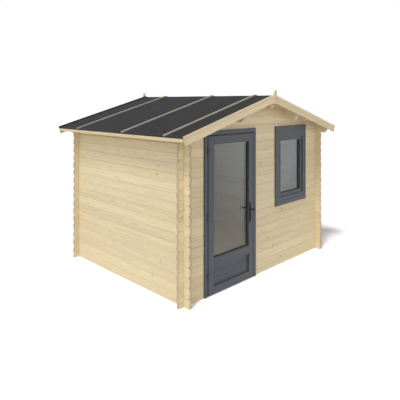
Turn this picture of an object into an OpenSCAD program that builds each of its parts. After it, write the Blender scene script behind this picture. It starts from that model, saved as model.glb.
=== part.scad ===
// Garden shed of interlocking logs: gable roof with a felt covering, one glazed door that opens
// outwards and one fixed window. Millimetres. The origin is on the ground, midway between the
// side walls and midway between the front and back walls. The door looks towards -Y.

/* [Walls] */
// Width over the outer faces of the side walls
wall_w = 3000; // [2700:10:3600]
// Depth over the outer faces of the front and back walls
wall_d = 2440; // [2000:10:3000]
// Height of one log, from joint to joint
log_h = 120; // [112:1:144]
// Thickness of a log
log_t = 38; // [30:1:48]
// Full logs in each side wall, below the top log
courses = 16; // [15:1:19]
// Height of the bevel on each edge of a log
bevel_h = 10; // [4:1:16]
// Depth of the bevel into the log's face
bevel_d = 7; // [3:1:11]
// How far the front and back logs run past the side walls
front_log_over = 82; // [60:1:120]
// How far the side logs run past the front and back walls
side_log_over = 98; // [60:1:120]
// Height of a side wall's top log at its outer face, under the roof boards
top_log_h = 135; // [110:1:170]

/* [Roof] */
// Slope of the roof, in degrees
roof_pitch = 16; // [12:0.5:22]
// From the side wall's outer face to the fascia's outer face
eave_over = 210; // [160:1:280]
// From the front wall's outer face to the bargeboard's outer face
verge_over = 228; // [150:1:280]
// Thickness of the roof boards
deck_t = 19; // [15:1:28]
// Thickness of the roofing felt
felt_t = 3; // [2:0.5:6]
// How far the felt is turned down over the fascia
felt_drop = 8; // [4:1:30]
// Height of the fascia
fascia_h = 48; // [32:1:80]
// Thickness of the fascia
fascia_t = 18; // [12:1:28]
// Height of a bargeboard, square to its length
barge_h = 110; // [80:1:150]
// Thickness of a bargeboard
barge_t = 20; // [15:1:28]
// How far a bargeboard stands above the felt
barge_rise = 12; // [4:1:25]
// Width of a batten on the felt
batten_w = 38; // [25:1:60]
// Thickness of a batten on the felt
batten_t = 16; // [10:1:25]
// From the roof's front edge to the middle of the front batten
batten_front = 343; // [150:1:700]
// From the middle of the roof forward to the middle batten
batten_middle = 258; // [-300:1:300]
// From the roof's back edge to the middle of the back batten
batten_back = 577; // [150:1:700]
// Width of a finial
finial_w = 58; // [25:1:80]
// Thickness of a finial
finial_t = 22; // [18:1:50]
// How far a finial's point stands above the bargeboards
finial_rise = 60; // [30:1:110]
// Height of the slanted cut at a finial's top, lowest towards the roof
finial_cut = 60; // [10:1:80]
// Width of a finial at its very top
finial_top_w = 46; // [10:1:60]
// Length of a finial
finial_len = 190; // [140:1:260]

/* [Purlins] */
// Width of a purlin
purlin_w = 50; // [38:1:70]
// Depth of a side purlin below the roof boards, at its higher face
purlin_h = 158; // [110:1:190]
// From the middle of the roof to a side purlin's nearer face
purlin_at = 592; // [450:1:750]
// Depth of the ridge purlin, from its peak to its underside
ridge_h = 150; // [110:1:190]
// Length of the slanted cut under the front end of purlins and top logs
nose_l = 36; // [30:1:90]
// Height of that cut
nose_h = 45; // [30:1:90]

/* [Door] */
// From the left wall's outer face to the door frame
door_at = 335; // [200:1:500]
// Width of the door frame, over all
door_w = 1017; // [850:1:1100]
// Height of the door frame's top above the ground
door_top = 2059; // [1900:1:2080]
// Width of the frame's uprights
jamb_w = 50; // [40:1:70]
// Height of the frame's head
head_h = 58; // [45:1:80]
// How far the frames stand out from the logs' outer face
frame_out = 20; // [10:1:35]
// How far the frames stand in past the logs' inner face
frame_in = 24; // [10:1:35]
// Width of the stop that the leaf closes towards
stop_w = 15; // [10:1:25]
// Gap between the leaf and the stop
stop_gap = 5; // [5:0.5:8]
// Thickness of the leaf
leaf_t = 56; // [44:1:60]
// Gap on the hinge side
hinge_gap = 9; // [8:0.5:12]
// Gap on the lock side
lock_gap = 8; // [8:0.5:12]
// Gap under the head
head_gap = 10; // [6:1:16]
// Gap between the ground and the leaf
foot_gap = 12; // [8:1:25]
// Width of the leaf's hinge stile and of its two upper rails
stile_w = 110; // [80:1:130]
// Width of the lock stile
lock_stile_w = 93; // [90:1:130]
// Height of the leaf's bottom rail
foot_rail_h = 90; // [60:1:200]
// Height of the opening for the bottom panel
panel_h = 242; // [160:1:500]
// How far the panel's face lies behind the leaf's face
panel_in = 26; // [10:1:30]
// Thickness of the panel
panel_t = 18; // [12:1:22]
// Boards in the panel
panel_boards = 3; // [2:1:5]
// Depth of the groove between two boards of the panel
groove = 3; // [2:0.5:5]
// How far the door's glass lies behind the leaf's face
glass_in = 42; // [20:1:46]
// Thickness of the glass
glass_t = 4; // [3:0.5:6]
// Height of the threshold
threshold_h = 56; // [40:1:80]

/* [Hinges and handle] */
// Height of each hinge's middle above the ground
hinge_at = [263, 990, 1809];
// Radius of a hinge's knuckle
knuckle_r = 8; // [6.5:0.5:11]
// Length of one half of a knuckle
knuckle_l = 30; // [22:1:45]
// Radius of the hinge pin
pin_r = 4; // [3:0.25:5]
// Thickness of a hinge's leaves
flap_t = 3; // [2:0.5:4]
// Width of a hinge's leaves
flap_w = 34; // [25:1:45]
// Height of the handle's spindle above the ground
spindle_at = 955; // [850:1:1100]
// From the leaf's lock edge to the spindle
backset = 72; // [50:1:80]
// Length of the handle's plates
plate_l = 260; // [200:1:280]
// Width of the plates
plate_w = 24; // [22:1:40]
// Thickness of the plates
plate_t = 8; // [5:0.5:12]
// From the spindle to the top of the plates
plate_up = 88; // [60:1:110]
// From the spindle down to the lock cylinder
lock_drop = 82; // [70:1:100]
// Radius of the lock cylinder
lock_r = 8.5; // [7:0.5:10]
// Radius of the necks of the knob and of the lever
neck_r = 8; // [7:0.5:10]
// Radius of the knob outside
knob_r = 12; // [10:0.5:20]
// Length of the knob
knob_l = 20; // [12:1:30]
// From the leaf's face to the end of the knob
knob_out = 72; // [35:1:90]
// From the leaf's back to the middle of the lever inside
lever_out = 34; // [28:1:60]
// Length of the lever from the spindle
lever_l = 105; // [80:1:140]
// Radius of the lever
lever_r = 9; // [7:0.5:11]
// Side of the square spindle
spindle_s = 8; // [7:0.5:9]

/* [Window] */
// From the left wall's outer face to the window frame
window_at = 1823; // [1600:1:2000]
// Width of the window frame, over all
window_w = 821; // [500:1:900]
// Height of the window frame, over all
window_h = 1180; // [700:1:1300]
// Width of the window frame's left upright
window_jamb = 50; // [40:1:70]
// Width of its right upright
window_jamb_right = 28; // [25:1:70]
// Height of the window frame's head
window_head = 122; // [60:1:140]
// Height of the window frame's sill
window_sill = 67; // [45:1:90]
// Width of the sash's front rim
sash_w = 53; // [35:1:70]
// How far the sash lies behind the frame's face
sash_in = 4; // [2:1:12]
// Width of the sash's inner step
step_w = 51; // [25:1:60]
// How far the inner step lies behind the sash's face
step_in = 16; // [8:1:24]
// How far the window's glass lies behind the frame's face
pane_in = 56; // [40:1:60]

/* [Floor] */
// Thickness of the floor boards
board_t = 18; // [15:1:24]
// Width of a floor bearer
bearer_w = 60; // [40:1:90]
// Number of floor bearers
bearers = 5; // [4:1:8]
// Gap between the floor and the door frame
floor_gap = 2; // [1:1:5]

/* [Hidden] */
fine = 48;              // sides of a round bar, all of them true circles
lay = 0.05;             // gap between sloping faces that lie on each other
running = 0.08;         // clearance around the spindle's neck, the pins and the lock cylinder
slack = 0.3;            // clearance between a turning end or knuckle and the face beside it
x_wall = wall_w / 2;
y_wall = wall_d / 2;
wall_top = courses * log_h;
slope = tan(roof_pitch);
deck_v = deck_t / cos(roof_pitch);
felt_v = felt_t / cos(roof_pitch);
rise_v = barge_rise / cos(roof_pitch);
batten_v = batten_t / cos(roof_pitch);
barge_v = barge_h / cos(roof_pitch);
x_eave = x_wall + eave_over;
y_verge = y_wall + verge_over;
y_deck = y_verge - barge_t;
y_front = -y_wall;      // outer face of the front wall
y_face = y_front - frame_out;   // front of the frames and of the leaf
y_back_of_frame = y_front + log_t + frame_in;

// Underside of the roof boards, and the surfaces above it, at distance x from the middle
function under(x) = wall_top + top_log_h + (x_wall - abs(x)) * slope;
function deck_top(x) = under(x) + deck_v;
function felt_top(x) = deck_top(x) + felt_v;
function barge_top(x) = felt_top(x) + rise_v;

// Door sizes that follow from the frame
door_x0 = -x_wall + door_at;
door_x1 = door_x0 + door_w;
leaf_x0 = door_x0 + jamb_w + hinge_gap;
leaf_x1 = door_x1 - jamb_w - lock_gap;
leaf_z0 = foot_gap;
leaf_z1 = door_top - head_h - head_gap;
leaf_back = y_face + leaf_t;
open_x0 = leaf_x0 + stile_w;
open_x1 = leaf_x1 - lock_stile_w;
panel_z0 = leaf_z0 + foot_rail_h;
panel_z1 = panel_z0 + panel_h;
glass_z0 = panel_z1 + stile_w;
glass_z1 = leaf_z1 - stile_w;
hinge_x = leaf_x0 - hinge_gap / 2;
hinge_y = y_face - knuckle_r - slack;
spindle_x = leaf_x1 - backset;
lock_z = spindle_at - lock_drop;

// Window sizes that follow from the frame
window_x0 = -x_wall + window_at;
window_x1 = window_x0 + window_w;
window_z1 = door_top;
window_z0 = window_z1 - window_h;
sash_x0 = window_x0 + window_jamb;
sash_x1 = window_x1 - window_jamb_right;
sash_z0 = window_z0 + window_sill;
sash_z1 = window_z1 - window_head;
step_x0 = sash_x0 + sash_w;
step_x1 = sash_x1 - sash_w;
step_z0 = sash_z0 + sash_w;
step_z1 = sash_z1 - sash_w;
pane_x0 = step_x0 + step_w;
pane_x1 = step_x1 - step_w;
pane_z0 = step_z0 + step_w;
pane_z1 = step_z1 - step_w;

// The floor fits between the side walls, and between the door frame and its mirror image
floor_x = x_wall - log_t;
floor_y = -y_back_of_frame - floor_gap;
bearer_h = threshold_h - board_t;

pine = "burlywood";
pale = "wheat";
slate = "dimgray";
iron = "black";

// ---- shapes that several pieces share ----

module box(x0, x1, y0, y1, z0, z1) {
    translate([x0, y0, z0]) cube([x1 - x0, y1 - y0, z1 - z0]);
}

// A flat shape drawn in X and Z, run along Y
module along_y(y0, y1) {
    translate([0, y1, 0]) rotate([90, 0, 0]) linear_extrude(y1 - y0) children();
}

// A flat shape drawn in Y and Z, run along X
module along_x(x0, x1) {
    translate([x0, 0, 0]) rotate([90, 0, 90]) linear_extrude(x1 - x0) children();
}

// A round bar along Y
module bar_y(x, z, y0, y1, r) {
    translate([x, y1, z]) rotate([90, 0, 0]) cylinder(h = y1 - y0, r = r, $fn = fine);
}

// Section through a stack of logs up to the roof, its outer face at 0 and its inner face at
// log_t, with a bevelled joint at first, first + log_h, and so on up to highest
module log_stack(first, highest) {
    top = under(0);
    joints = [for (z = first; z <= highest; z = z + log_h) z];
    last = len(joints) - 1;
    polygon(concat(
        [[0, 0]],
        [for (z = joints) each [[0, z - bevel_h], [bevel_d, z], [0, z + bevel_h]]],
        [[0, top], [log_t, top]],
        [for (i = [last:-1:0]) each [[log_t, joints[i] + bevel_h], [log_t - bevel_d, joints[i]],
            [log_t, joints[i] - bevel_h]]],
        [[log_t, 0]]
    ));
}

// Everything below the roof boards
module under_roof(x0, x1) {
    polygon(concat(
        [[x0, 0], [x1, 0], [x1, under(x1) - lay]],
        x0 < 0 && x1 > 0 ? [[0, under(0) - lay]] : [],
        [[x0, under(x0) - lay]]
    ));
}

// ---- walls ----

// A length of the front wall between two heights. The logs start with half a log on the
// ground, so that they interlock with the side walls.
module front_logs(x0, x1, z0, z1) {
    intersection() {
        along_x(x0, x1) translate([y_front, 0]) log_stack(log_h / 2, under(0) - log_h);
        along_y(y_front, y_front + log_t) difference() {
            intersection() {
                under_roof(x0, x1);
                translate([x0, z0]) square([x1 - x0, z1 - z0]);
            }
            notch(-x_wall, -x_wall + log_t, wall_top);
            notch(x_wall - log_t, x_wall, wall_top);
            notch(-purlin_at - purlin_w, -purlin_at, under(purlin_at) - purlin_h);
            notch(purlin_at, purlin_at + purlin_w, under(purlin_at) - purlin_h);
            notch(-purlin_w / 2, purlin_w / 2, under(0) - ridge_h);
        }
    }
}

module wall_end_to_end(z0, z1) {
    front_logs(-x_wall - front_log_over, x_wall + front_log_over, z0, z1);
}

// Room for a top log or a purlin, which passes through to the bargeboards
module notch(x0, x1, bottom) {
    translate([x0, bottom]) square([x1 - x0, barge_top(0) - bottom]);
}

module front_wall_left() {
    color(pine) front_logs(-x_wall - front_log_over, door_x0, 0, door_top);
}

module front_wall_middle() {
    color(pine) front_logs(door_x1, window_x0, 0, door_top);
}

module front_wall_right() {
    color(pine) front_logs(window_x1, x_wall + front_log_over, 0, door_top);
}

module front_wall_under_window() {
    color(pine) front_logs(window_x0, window_x1, 0, window_z0);
}

module front_gable() {
    color(pine) wall_end_to_end(door_top, under(0));
}

module back_wall() {
    color(pine) mirror([0, 1, 0]) wall_end_to_end(0, door_top);
}

module back_gable() {
    color(pine) mirror([0, 1, 0]) wall_end_to_end(door_top, under(0));
}

// Outline of a purlin or a top log seen from the side, with the slanted cut at both ends
module nosed_outline(bottom) {
    top = under(0) + deck_v;
    polygon([
        [-y_deck, bottom + nose_h], [-y_deck + nose_l, bottom],
        [y_deck - nose_l, bottom], [y_deck, bottom + nose_h],
        [y_deck, top], [-y_deck, top]
    ]);
}

// The left wall. Its logs stop at the front and back walls, and their ends go on outside them.
module side_wall() {
    along_y(-y_wall + log_t, y_wall - log_t) side_section(0, wall_top);
    for (y = [-y_wall - side_log_over, y_wall])
        along_y(y, y + side_log_over) side_section(0, wall_top);
}

// The left wall's top log, which runs through to the bargeboards
module top_log() {
    intersection() {
        along_y(-y_deck, y_deck) side_section(wall_top, under(0));
        along_x(-x_wall, -x_wall + log_t) nosed_outline(wall_top);
    }
}

// The side wall's section between two heights, cut off under the roof boards
module side_section(z0, z1) {
    intersection() {
        translate([-x_wall, 0]) log_stack(log_h, wall_top);
        under_roof(-x_wall, -x_wall + log_t);
        translate([-x_wall, z0]) square([log_t, z1 - z0]);
    }
}

module left_wall() {
    color(pine) side_wall();
}

module right_wall() {
    color(pine) mirror([1, 0, 0]) side_wall();
}

module top_logs() {
    color(pine) for (side = [-1, 1]) on_side(side) top_log();
}

// ---- purlins ----

module ridge_section() {
    intersection() {
        under_roof(-purlin_w / 2, purlin_w / 2);
        notch(-purlin_w / 2, purlin_w / 2, under(0) - ridge_h);
    }
}

// The higher face of a side purlin is the one nearer the middle
module side_purlin_section(side) {
    x0 = side < 0 ? -purlin_at - purlin_w : purlin_at;
    intersection() {
        under_roof(x0, x0 + purlin_w);
        notch(x0, x0 + purlin_w, under(purlin_at) - purlin_h);
    }
}

module ridge_purlin() {
    color(pine) intersection() {
        along_y(-y_deck, y_deck) ridge_section();
        along_x(-purlin_w, purlin_w) nosed_outline(under(0) - ridge_h);
    }
}

module side_purlin(side) {
    color(pine) intersection() {
        along_y(-y_deck, y_deck) side_purlin_section(side);
        along_x(-x_wall, x_wall) nosed_outline(under(purlin_at) - purlin_h);
    }
}

module purlin_left() {
    side_purlin(-1);
}

module purlin_right() {
    side_purlin(1);
}

// ---- roof covering ----

// Half of the roof is drawn on the left, and mirrored for the right
module on_side(side) {
    if (side < 0) children();
    else mirror([1, 0, 0]) children();
}

module roof_boards(side) {
    x = x_eave - fascia_t;
    color(pale) on_side(side) along_y(-y_deck, y_deck)
        polygon([[-x, under(x)], [0, under(0)], [0, deck_top(0)], [-x, deck_top(x)]]);
}

module roof_boards_left() {
    roof_boards(-1);
}

module roof_boards_right() {
    roof_boards(1);
}

module felt(side) {
    x = x_eave;
    edge = x_eave + felt_t;
    color("darkslategray") on_side(side) along_y(-y_deck, y_deck) polygon([
        [-x, deck_top(x) + lay], [0, deck_top(0) + lay], [0, felt_top(0)],
        [-edge, felt_top(edge)], [-edge, deck_top(x) - felt_drop], [-x, deck_top(x) - felt_drop]
    ]);
}

module felt_left() {
    felt(-1);
}

module felt_right() {
    felt(1);
}

// The battens of one slope butt against those of the other at the ridge
module battens() {
    x = x_eave;
    middles = [-y_verge + batten_front, -batten_middle, y_verge - batten_back];
    color(pale) for (side = [-1, 1], y = middles) on_side(side)
        along_y(y - batten_w / 2, y + batten_w / 2) polygon([
            [-x, felt_top(x) + lay], [-lay, felt_top(lay) + lay],
            [-lay, felt_top(lay) + batten_v], [-x, felt_top(x) + batten_v]
        ]);
}

module fascias() {
    x0 = x_eave;
    x1 = x_eave - fascia_t;
    color(pale) for (side = [-1, 1]) on_side(side) along_y(-y_deck, y_deck) polygon([
        [-x0, deck_top(x0)], [-x0, deck_top(x0) - fascia_h],
        [-x1, deck_top(x0) - fascia_h], [-x1, deck_top(x1)]
    ]);
}

// A bargeboard on the front left, cut square at the eave and plumb at the ridge
module bargeboard() {
    x = x_eave;
    in = barge_h * sin(roof_pitch);
    along_y(-y_verge, -y_deck) polygon([
        [-x, barge_top(x)], [-x + in, barge_top(x) - barge_h * cos(roof_pitch)],
        [-lay, barge_top(lay) - barge_v], [-lay, barge_top(lay)]
    ]);
}

module bargeboards_front() {
    color(pale) for (side = [-1, 1]) on_side(side) bargeboard();
}

module bargeboards_back() {
    color(pale) mirror([0, 1, 0]) for (side = [-1, 1]) on_side(side) bargeboard();
}

// A short post in front of each joint of the bargeboards, its top cut to slope back
module finials() {
    color(pale) {
        finial();
        mirror([0, 1, 0]) finial();
    }
}

module finial() {
    w = finial_w / 2;
    t = finial_top_w / 2;
    tip = barge_top(0) + finial_rise;
    y0 = -y_verge - finial_t;
    intersection() {
        along_y(y0, -y_verge)
            polygon([[-w, tip - finial_len], [w, tip - finial_len], [w, tip - finial_cut],
                [t, tip], [-t, tip], [-w, tip - finial_cut]]);
        along_x(-w, w)
            polygon([[y0, tip - finial_len], [-y_verge, tip - finial_len],
                [-y_verge, tip - finial_cut], [y0, tip]]);
    }
}

// ---- door frame ----

// Plan of the left upright: the body, and the stop behind the leaf
module jamb_plan() {
    stop_y = leaf_back + stop_gap;
    polygon([
        [0, y_face], [jamb_w, y_face], [jamb_w, stop_y], [jamb_w + stop_w, stop_y],
        [jamb_w + stop_w, y_back_of_frame], [0, y_back_of_frame]
    ]);
}

module door_jamb_left() {
    color(slate) translate([door_x0, 0, 0]) linear_extrude(door_top - head_h) jamb_plan();
}

module door_jamb_right() {
    color(slate) translate([door_x1, 0, 0]) mirror([1, 0, 0])
        linear_extrude(door_top - head_h) jamb_plan();
}

module door_head() {
    stop_y = leaf_back + stop_gap;
    under_head = door_top - head_h;
    color(slate) {
        box(door_x0, door_x1, y_face, y_back_of_frame, under_head, door_top);
        box(door_x0 + jamb_w + stop_w, door_x1 - jamb_w - stop_w, stop_y, y_back_of_frame,
            under_head - stop_w, under_head);
    }
}

module threshold() {
    color("silver") box(door_x0 + jamb_w + stop_w, door_x1 - jamb_w - stop_w,
        leaf_back + stop_gap, y_back_of_frame, 0, threshold_h);
}

// ---- door leaf ----

module door_stile_hinge() {
    color(slate) box(leaf_x0, open_x0, y_face, leaf_back, leaf_z0, leaf_z1);
}

// The lock stile is bored for the spindle and the lock cylinder
module door_stile_lock() {
    color(slate) difference() {
        box(open_x1, leaf_x1, y_face, leaf_back, leaf_z0, leaf_z1);
        bar_y(spindle_x, spindle_at, y_face - 1, leaf_back + 1, spindle_s);
        bar_y(spindle_x, lock_z, y_face - 1, leaf_back + 1, lock_r + running);
    }
}

module door_rails() {
    color(slate) for (z = [[leaf_z0, panel_z0], [panel_z1, glass_z0], [glass_z1, leaf_z1]])
        box(open_x0, open_x1, y_face, leaf_back, z[0], z[1]);
}

// Grooved boards laid across the foot of the door
module door_panel() {
    y = y_face + panel_in;
    pitch = panel_h / panel_boards;
    color(slate) along_x(open_x0, open_x1) polygon(concat(
        [[y + panel_t, panel_z1], [y + panel_t, panel_z0], [y, panel_z0]],
        [for (i = [1:1:panel_boards - 1]) let (z = panel_z0 + i * pitch)
            each [[y, z - groove], [y + groove, z], [y, z + groove]]],
        [[y, panel_z1]]
    ));
}

module door_glass() {
    color("lightblue", 0.5) box(open_x0, open_x1, y_face + glass_in, y_face + glass_in + glass_t,
        glass_z0, glass_z1);
}

// ---- hinges ----

// The frame's half of each hinge: the lower knuckle, its flap and the pin
module hinge_pins() {
    color("silver") for (z = hinge_at) {
        translate([hinge_x, hinge_y, z - knuckle_l]) {
            cylinder(h = knuckle_l, r = knuckle_r, $fn = fine);
            cylinder(h = 2 * knuckle_l - knuckle_r, r = pin_r, $fn = fine);
        }
        box(hinge_x - flap_w, hinge_x, y_face - flap_t, y_face, z - knuckle_l, z);
    }
}

// The leaf's half: the upper knuckle, bored for the pin, and its flap
module hinge_flaps() {
    lift = 0.4;
    color("silver") for (z = hinge_at)
        difference() {
            union() {
                translate([hinge_x, hinge_y, z + lift])
                    cylinder(h = knuckle_l - lift, r = knuckle_r, $fn = fine);
                box(hinge_x, hinge_x + flap_w, y_face - flap_t, y_face, z + lift, z + knuckle_l);
            }
            translate([hinge_x, hinge_y, z - 1])
                cylinder(h = knuckle_l - knuckle_r + 2, r = pin_r + running, $fn = fine);
        }
}

// ---- handle and lock ----

// One plate outside and one inside, each bored for the neck and for the lock cylinder
module handle_plates() {
    z1 = spindle_at + plate_up;
    w = plate_w / 2;
    color(iron) for (y = [y_face - plate_t, leaf_back])
        difference() {
            box(spindle_x - w, spindle_x + w, y, y + plate_t, z1 - plate_l, z1);
            bar_y(spindle_x, spindle_at, y - 1, y + plate_t + 1, neck_r + running);
            bar_y(spindle_x, lock_z, y - 1, y + plate_t + 1, lock_r + running);
        }
}

module lock_cylinder() {
    stand = 3;
    color("silver") bar_y(spindle_x, lock_z, y_face - plate_t - stand,
        leaf_back + plate_t + stand, lock_r);
}

// A knob outside and a lever inside, joined by the square spindle. The lever points at the
// hinges.
module handle() {
    s = spindle_s / 2;
    outer = y_face - knob_out;
    inner = leaf_back + lever_out;
    color(iron) {
        box(spindle_x - s, spindle_x + s, y_face - 1, leaf_back + 1, spindle_at - s,
            spindle_at + s);
        bar_y(spindle_x, spindle_at, outer, y_face - slack, neck_r);
        bar_y(spindle_x, spindle_at, outer, outer + knob_l, knob_r);
        bar_y(spindle_x, spindle_at, leaf_back + slack, inner, neck_r);
        translate([spindle_x - lever_l, inner, spindle_at]) rotate([0, 90, 0])
            cylinder(h = lever_l, r = lever_r, $fn = fine);
        for (x = [spindle_x, spindle_x - lever_l])
            translate([x, inner, spindle_at]) sphere(r = lever_r, $fn = fine);
    }
}

// ---- window ----

module window_jambs() {
    color(slate) for (x = [[window_x0, sash_x0], [sash_x1, window_x1]])
        box(x[0], x[1], y_face, y_back_of_frame, sash_z0, sash_z1);
}

module window_head() {
    color(slate) box(window_x0, window_x1, y_face, y_back_of_frame, sash_z1, window_z1);
}

module window_sill() {
    color(slate) box(window_x0, window_x1, y_face, y_back_of_frame, window_z0, sash_z0);
}

// Section of the left stile in plan and of the bottom rail in height: a rim, then a step
module sash_section() {
    polygon([
        [0, sash_in], [sash_w, sash_in], [sash_w, sash_in + step_in],
        [sash_w + step_w, sash_in + step_in],
        [sash_w + step_w, frame_out + log_t + frame_in], [0, frame_out + log_t + frame_in]
    ]);
}

module window_sash_stiles() {
    color(slate) {
        translate([sash_x0, y_face, pane_z0])
            linear_extrude(pane_z1 - pane_z0) sash_section();
        translate([sash_x1, y_face, pane_z0]) mirror([1, 0, 0])
            linear_extrude(pane_z1 - pane_z0) sash_section();
    }
}

// A rail as high as the rim and the step together. Its recess carries the step on between the
// stiles, so that both run round the corners.
module sash_rail(z0, recess_z0) {
    difference() {
        box(sash_x0, sash_x1, y_face + sash_in, y_back_of_frame, z0, z0 + sash_w + step_w);
        box(step_x0, step_x1, y_face, y_face + sash_in + step_in, recess_z0,
            recess_z0 + step_w);
    }
}

module window_sash_rails() {
    color(slate) {
        sash_rail(sash_z0, step_z0);
        sash_rail(pane_z1, pane_z1);
    }
}

module window_glass() {
    color("lightblue", 0.5) box(pane_x0, pane_x1, y_face + pane_in, y_face + pane_in + glass_t,
        pane_z0, pane_z1);
}

// ---- floor ----

module floor_bearers() {
    step = (2 * floor_y - bearer_w) / (bearers - 1);
    color(pine) for (i = [0:bearers - 1])
        box(-floor_x, floor_x, -floor_y + i * step, -floor_y + i * step + bearer_w, 0, bearer_h);
}

module floor_boards() {
    color(pale) box(-floor_x, floor_x, -floor_y, floor_y, bearer_h, threshold_h);
}

front_wall_left();
front_wall_middle();
front_wall_right();
front_wall_under_window();
front_gable();
back_wall();
back_gable();
left_wall();
right_wall();
top_logs();
ridge_purlin();
purlin_left();
purlin_right();
roof_boards_left();
roof_boards_right();
felt_left();
felt_right();
battens();
fascias();
bargeboards_front();
bargeboards_back();
finials();
door_jamb_left();
door_jamb_right();
door_head();
threshold();
door_stile_hinge();
door_stile_lock();
door_rails();
door_panel();
door_glass();
hinge_pins();
hinge_flaps();
handle_plates();
lock_cylinder();
handle();
window_jambs();
window_head();
window_sill();
window_sash_stiles();
window_sash_rails();
window_glass();
floor_bearers();
floor_boards();
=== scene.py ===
import math
import random

import bmesh
import bpy
from mathutils import Matrix, Vector, noise


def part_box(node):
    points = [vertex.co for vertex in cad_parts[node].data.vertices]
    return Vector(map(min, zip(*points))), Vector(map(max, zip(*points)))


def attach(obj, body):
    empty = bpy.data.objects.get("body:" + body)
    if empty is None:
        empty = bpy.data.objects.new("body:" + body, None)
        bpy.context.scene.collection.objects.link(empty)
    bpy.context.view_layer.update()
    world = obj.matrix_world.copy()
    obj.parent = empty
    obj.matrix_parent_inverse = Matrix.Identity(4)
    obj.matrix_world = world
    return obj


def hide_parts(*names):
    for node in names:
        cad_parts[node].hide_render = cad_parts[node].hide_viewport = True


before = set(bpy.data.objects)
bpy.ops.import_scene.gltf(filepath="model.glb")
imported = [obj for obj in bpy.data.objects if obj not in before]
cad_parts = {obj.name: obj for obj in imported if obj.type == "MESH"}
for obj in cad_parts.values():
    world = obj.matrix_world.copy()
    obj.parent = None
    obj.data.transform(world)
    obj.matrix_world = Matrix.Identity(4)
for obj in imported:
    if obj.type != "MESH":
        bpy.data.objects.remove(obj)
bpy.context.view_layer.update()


# ---- the studio ----
# A plain pale floor, a white room, a lamp high on the left, and two wide soft ones low on the left
# and in front that fill the shade of the eaves. A dim one inside shows the walls through the glass.

def wire(tree, kind, sockets=None, **settings):
    """Adds a node, with its settings and with its sockets set or linked by name or number."""
    node = tree.nodes.new(kind)
    for key, value in settings.items():
        setattr(node, key, value)
    for key, value in (sockets or {}).items():
        if isinstance(value, bpy.types.NodeSocket):
            tree.links.new(value, node.inputs[key])
        else:
            node.inputs[key].default_value = value
    return node


def new_material(name):
    material = bpy.data.materials.new(name)
    material.use_nodes = True
    material.node_tree.nodes.clear()
    return material, material.node_tree


def added(name, data):
    """A new object in the scene."""
    thing = bpy.data.objects.new(name, data)
    bpy.context.scene.collection.objects.link(thing)
    return thing


def as_mesh(name, bm):
    mesh = bpy.data.meshes.new(name)
    bm.to_mesh(mesh)
    bm.free()
    return mesh


def shown(tree, shader):
    """Joins a shader to the material's output."""
    wire(tree, "ShaderNodeOutputMaterial", {"Surface": shader.outputs[0]})


def seen_or_mirrored(tree):
    """1 for what is seen, straight, in a mirror or through glass, and 0 for light that bounces."""
    path = wire(tree, "ShaderNodeLightPath")
    shine = wire(tree, "ShaderNodeMath", {0: path.outputs["Is Glossy Ray"],
                                          1: path.outputs["Is Transmission Ray"]},
                 operation="MAXIMUM")
    return wire(tree, "ShaderNodeMath", {0: path.outputs["Is Camera Ray"], 1: shine.outputs[0]},
                operation="MAXIMUM").outputs[0]


camera = added("camera", bpy.data.cameras.new("camera"))
camera.location = (-5.001, -4.992, 2.417)
camera.rotation_euler = (math.radians(90), 0, math.radians(-45))
camera.data.lens = 39.36
camera.data.sensor_width = 36
camera.data.shift_y = -0.245
bpy.context.scene.camera = camera
bpy.context.scene.view_settings.view_transform = "Standard"

for name, energy, spread, towards in (("lamp", 1.62, 10, (-0.45, -0.165, 0.886)),
                                      ("left_fill", 1.18, 80, (-0.98, 0.05, 0.16)),
                                      ("front_fill", 1.04, 80, (0.05, -0.98, 0.16))):
    lamp = added(name, bpy.data.lights.new(name, "SUN"))
    lamp.data.energy = energy
    lamp.data.angle = math.radians(spread)
    lamp.data.color = (1.0, 0.985, 0.96)
    lamp.rotation_euler = Vector(towards).to_track_quat("Z", "Y").to_euler()

lamp = added("inside_lamp", bpy.data.lights.new("inside_lamp", "POINT"))
lamp.location = (0.2, -0.2, 1.7)
lamp.data.energy = 21
lamp.data.color = (0.41, 0.61, 1.0)
lamp.data.shadow_soft_size = 0.4
lamp.visible_camera = lamp.visible_glossy = lamp.visible_transmission = False

room_light = 0.21
world = bpy.data.worlds.new("white room")
bpy.context.scene.world = world
world.use_nodes = True
world.node_tree.nodes.clear()
strength = wire(world.node_tree, "ShaderNodeMapRange",
                {"Value": seen_or_mirrored(world.node_tree), "To Min": room_light, "To Max": 1.0})
backdrop = wire(world.node_tree, "ShaderNodeBackground",
                {"Color": (1, 1, 1, 1), "Strength": strength.outputs[0]})
wire(world.node_tree, "ShaderNodeOutputWorld", {"Surface": backdrop.outputs[0]})

floor_white, tree = new_material("pale floor")
seen = seen_or_mirrored(tree)
bounce_light, seen_light = 0.75, (1.37, 1.38, 1.46)
paleness = wire(tree, "ShaderNodeCombineColor", {
    i: wire(tree, "ShaderNodeMapRange",
            {"Value": seen, "To Min": bounce_light, "To Max": light}).outputs[0]
    for i, light in enumerate(seen_light)})
shown(tree, wire(tree, "ShaderNodeBsdfDiffuse", {"Color": paleness.outputs[0]}))

bm = bmesh.new()
bmesh.ops.create_circle(bm, cap_ends=True, segments=96, radius=60)
studio_floor = added("studio_floor", as_mesh("studio_floor", bm))
studio_floor.data.materials.append(floor_white)


# ---- floor bearers ----
# Flat battens of rough-sawn softwood that lie on the ground from wall to wall. The same
# softwood, planed, is in every timber piece, so its grain is made here.

def new_group(name, kind, inputs, outputs):
    tree = bpy.data.node_groups.new(name, kind)
    for title, sort, value in inputs:
        socket = tree.interface.new_socket(title, in_out="INPUT", socket_type=sort)
        if value is not None:
            socket.default_value = value
    for title, sort in outputs:
        tree.interface.new_socket(title, in_out="OUTPUT", socket_type=sort)
    return tree, wire(tree, "NodeGroupInput"), wire(tree, "NodeGroupOutput")


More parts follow.
